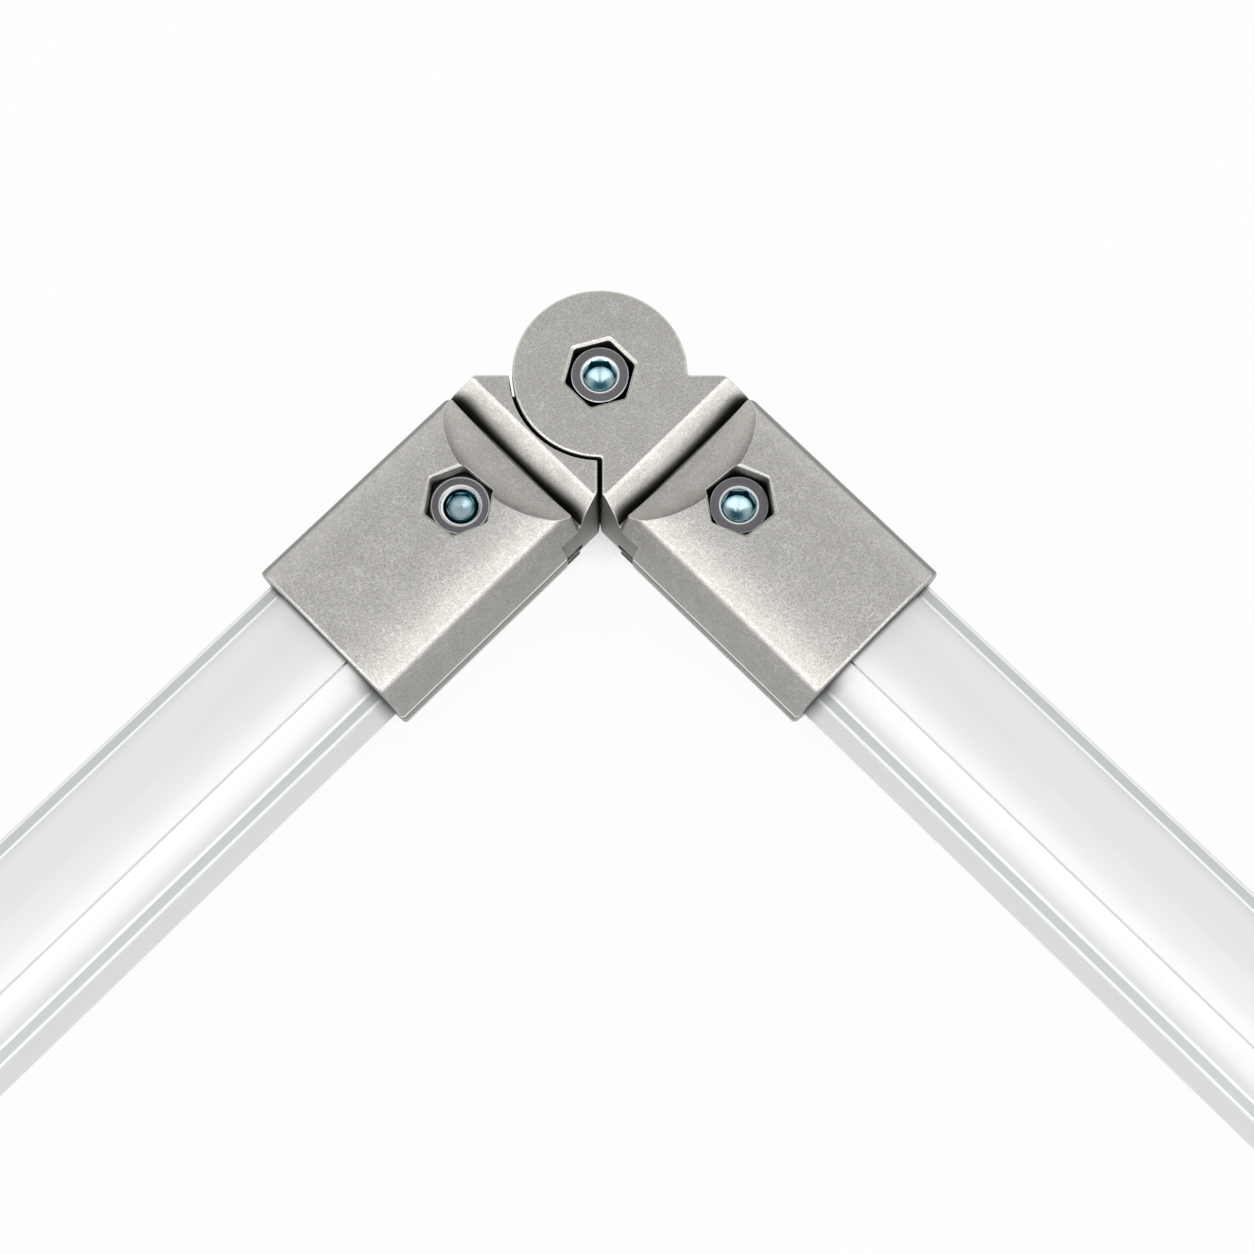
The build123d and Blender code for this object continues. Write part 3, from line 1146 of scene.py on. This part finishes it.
@dataclass
class Camera:
    """Camera nearly above the joint, tipped a little towards its open side.

    The tip, yaw and roll are in degrees, and the lens and sensor in millimetres.
    """

    target: Vector
    distance: float = 307.474 * MM
    tip: float = 11.458
    yaw: float = -1.981
    roll: float = 1.918
    lens: float = 52.0599
    sensor: float = 36.0
    clip: Span = (0.01, 20.0)

    def build(self) -> None:
        """Adds the camera and makes it the scene's."""
        tip, yaw, roll = (math.radians(v) for v in (self.tip, self.yaw, self.roll))
        turn = Matrix.Rotation(yaw, 3, "Z")
        back = turn @ Vector((0, -math.sin(tip), math.cos(tip)))
        right = turn @ Vector((1, 0, 0))
        up = turn @ Vector((0, math.cos(tip), math.sin(tip)))
        across = math.cos(roll) * right + math.sin(roll) * up
        rise = -math.sin(roll) * right + math.cos(roll) * up
        data = bpy.data.cameras.new("camera")
        data.sensor_width = self.sensor
        data.lens = self.lens
        data.clip_start, data.clip_end = self.clip
        piece = bpy.data.objects.new("camera", data)
        place = Matrix((across, rise, back)).transposed().to_4x4()
        place.translation = self.target + self.distance * back
        piece.matrix_world = place
        bpy.context.scene.collection.objects.link(piece)
        bpy.context.scene.camera = piece


@dataclass
class Studio:
    """Pale floor, soft sky, two softboxes and the camera.

    The gap is the narrow slit between the stops at rest, which runs from the pivot towards the
    open side; the floor under it gets a painted shadow for the light that the slit keeps off.
    An open span holds the shares of open sky between which the floor's look changes.
    """

    middle: Vector
    pivot: Vector
    floor_size: float = 6.0
    floor_drop: float = 0.02 * MM
    floor_color: Color = (0.93, 0.93, 0.93)
    # Painted shadow colour on the floor under the gap.
    gap_shadow_color: Color = (0.02, 0.02, 0.02)
    gap_end: float = 18.8 * MM
    gap_fade: float = 0.2 * MM
    gap_half: float = 3.0 * MM
    gap_open: Span = (0.6, 0.4)
    shown: float = 0.94
    shown_open: Span = (0.15, 0.35)
    reach: float = 12.0 * MM
    sky_light: float = 0.96
    sky_heights: Span = (0.15, 1.0)
    sky_levels: Span = (1.35, 0.74)
    lamp_place: tuple[float, float, float] = (0.69, -0.66, 0.89)
    lamp_size: tuple[float, float] = (1.6, 1.3)
    lamp_power: float = 12.0
    aim: tuple[float, float, float] = (4.560 * MM, -40.979 * MM, 0.0)

    def _seen(self, tree: Tree) -> Socket:
        """1 for camera, glossy and transmission rays, which show the backdrop.

        Args:
            tree: where the nodes go.

        Returns:
            The output socket.
        """
        path = by_name(tree.add("ShaderNodeLightPath"))
        rays = tree.math("ADD", path["Is Camera Ray"], path["Is Glossy Ray"])
        return tree.math("ADD", rays, path["Is Transmission Ray"], clamp=True)

    def _below_gap(self, tree: Tree) -> Socket:
        """1 on the floor under the gap between the stops, where the painted shadow goes.

        Args:
            tree: where the nodes go.

        Returns:
            The output socket.
        """
        parts = tree.split(tree.add("ShaderNodeTexCoord").outputs["Object"])
        across = tree.band(parts["X"], self.pivot.x, self.gap_half)
        from_pivot = tree.math("SUBTRACT", self.pivot.y, parts["Y"])
        fade = (self.gap_end + self.gap_fade, self.gap_end - self.gap_fade)
        inside = tree.math("GREATER_THAN", from_pivot, 0.0)
        return tree.times(across, tree.times(tree.ramp(from_pivot, fade), inside))

    def _floor_material(self) -> bpy.types.Material:
        """Plain floor, white to the camera, with the joint's shadow and a painted shadow under the
        gap.

        Returns:
            The material.
        """
        material = bpy.data.materials.new("pale_floor")
        material.use_nodes = True
        tree = Tree(material.node_tree)
        plain = tree.add("ShaderNodeBsdfDiffuse")
        white = tree.add("ShaderNodeEmission", Color=(1, 1, 1, 1), Strength=1.0)
        blend = tree.add("ShaderNodeMixShader")
        end = tree.add("ShaderNodeOutputMaterial")
        depth = tree.add("ShaderNodeAmbientOcclusion", samples=8, Distance=self.reach)
        open_sky = depth.outputs["AO"]
        # Painted shadow on the floor under the gap between the stops.
        gap = tree.times(self._below_gap(tree), tree.ramp(open_sky, self.gap_open))
        lit = tree.ramp(open_sky, self.shown_open, (0, self.shown))
        lit = tree.times(lit, tree.math("SUBTRACT", 1.0, gap))
        tree.feed(tree.mix(gap, self.floor_color, self.gap_shadow_color), plain.inputs["Color"])
        tree.feed(tree.times(self._seen(tree), lit), blend.inputs[0])
        tree.feed(plain.outputs[0], blend.inputs[1])
        tree.feed(white.outputs[0], blend.inputs[2])
        tree.feed(blend.outputs[0], end.inputs["Surface"])
        return material

    def _floor(self) -> None:
        """Adds the floor, just under the joint."""
        half = self.floor_size / 2
        corners = [(-half, -half, 0), (half, -half, 0), (half, half, 0), (-half, half, 0)]
        mesh = bpy.data.meshes.new("floor")
        mesh.from_pydata(corners, [], [(0, 1, 2, 3)])
        mesh.materials.append(self._floor_material())
        piece = bpy.data.objects.new("floor", mesh)
        piece.location = (0, 0, -self.floor_drop)
        bpy.context.scene.collection.objects.link(piece)

    def _sky(self) -> None:
        """Sets the world: plain light for what it lights, a pale backdrop for what sees it."""
        world = bpy.data.worlds.new("studio")
        bpy.context.scene.world = world
        world.use_nodes = True
        tree = Tree(world.node_tree)
        parts = tree.split(tree.add("ShaderNodeTexCoord").outputs["Generated"])
        level = tree.ramp(parts["Z"], self.sky_heights, self.sky_levels)
        grey = tree.add("ShaderNodeCombineColor")
        for name in ("Red", "Green", "Blue"):
            tree.feed(level, grey.inputs[name])
        light = tree.add("ShaderNodeBackground", Color=(1, 1, 1, 1), Strength=self.sky_light)
        shown = tree.add("ShaderNodeBackground", Strength=1.0)
        tree.feed(grey.outputs[0], shown.inputs["Color"])
        blend = tree.add("ShaderNodeMixShader")
        tree.feed(self._seen(tree), blend.inputs[0])
        tree.feed(light.outputs[0], blend.inputs[1])
        tree.feed(shown.outputs[0], blend.inputs[2])
        end = tree.add("ShaderNodeOutputWorld")
        tree.feed(blend.outputs[0], end.inputs["Surface"])

    def build(self) -> None:
        """Adds the floor, the sky, the lamps and the camera."""
        self._floor()
        self._sky()
        x, y, z = self.lamp_place
        for hand in (Hand.LEFT, Hand.RIGHT):
            name = f"low_{hand.name.lower()}"
            place = Vector((hand.value * x, y, z))
            Softbox(name, place, self.lamp_size, self.lamp_power).build(self.middle)
        Camera(self.pivot + Vector(self.aim)).build()
        bpy.context.scene.view_settings.view_transform = "Standard"


def main() -> None:
    """Builds the joint's looks and the studio."""
    logging.basicConfig(level=logging.INFO, format="%(message)s")
    middle = (cad_box[0] + cad_box[1]) / 2
    pivot = Vector(frame["joints"][0]["pos_m"])
    pivot.z = middle.z
    effects = Effects()
    knuckle = KnuckleFinish(pivot.z).material(effects)
    shell = ShellFinish(pivot.z).material(effects)
    for hand in Hand:
        Arm(hand, effects, pivot, knuckle, shell).build()
    Hinge(effects).build()
    Studio(middle, pivot).build()


if __name__ == "__main__":
    main()
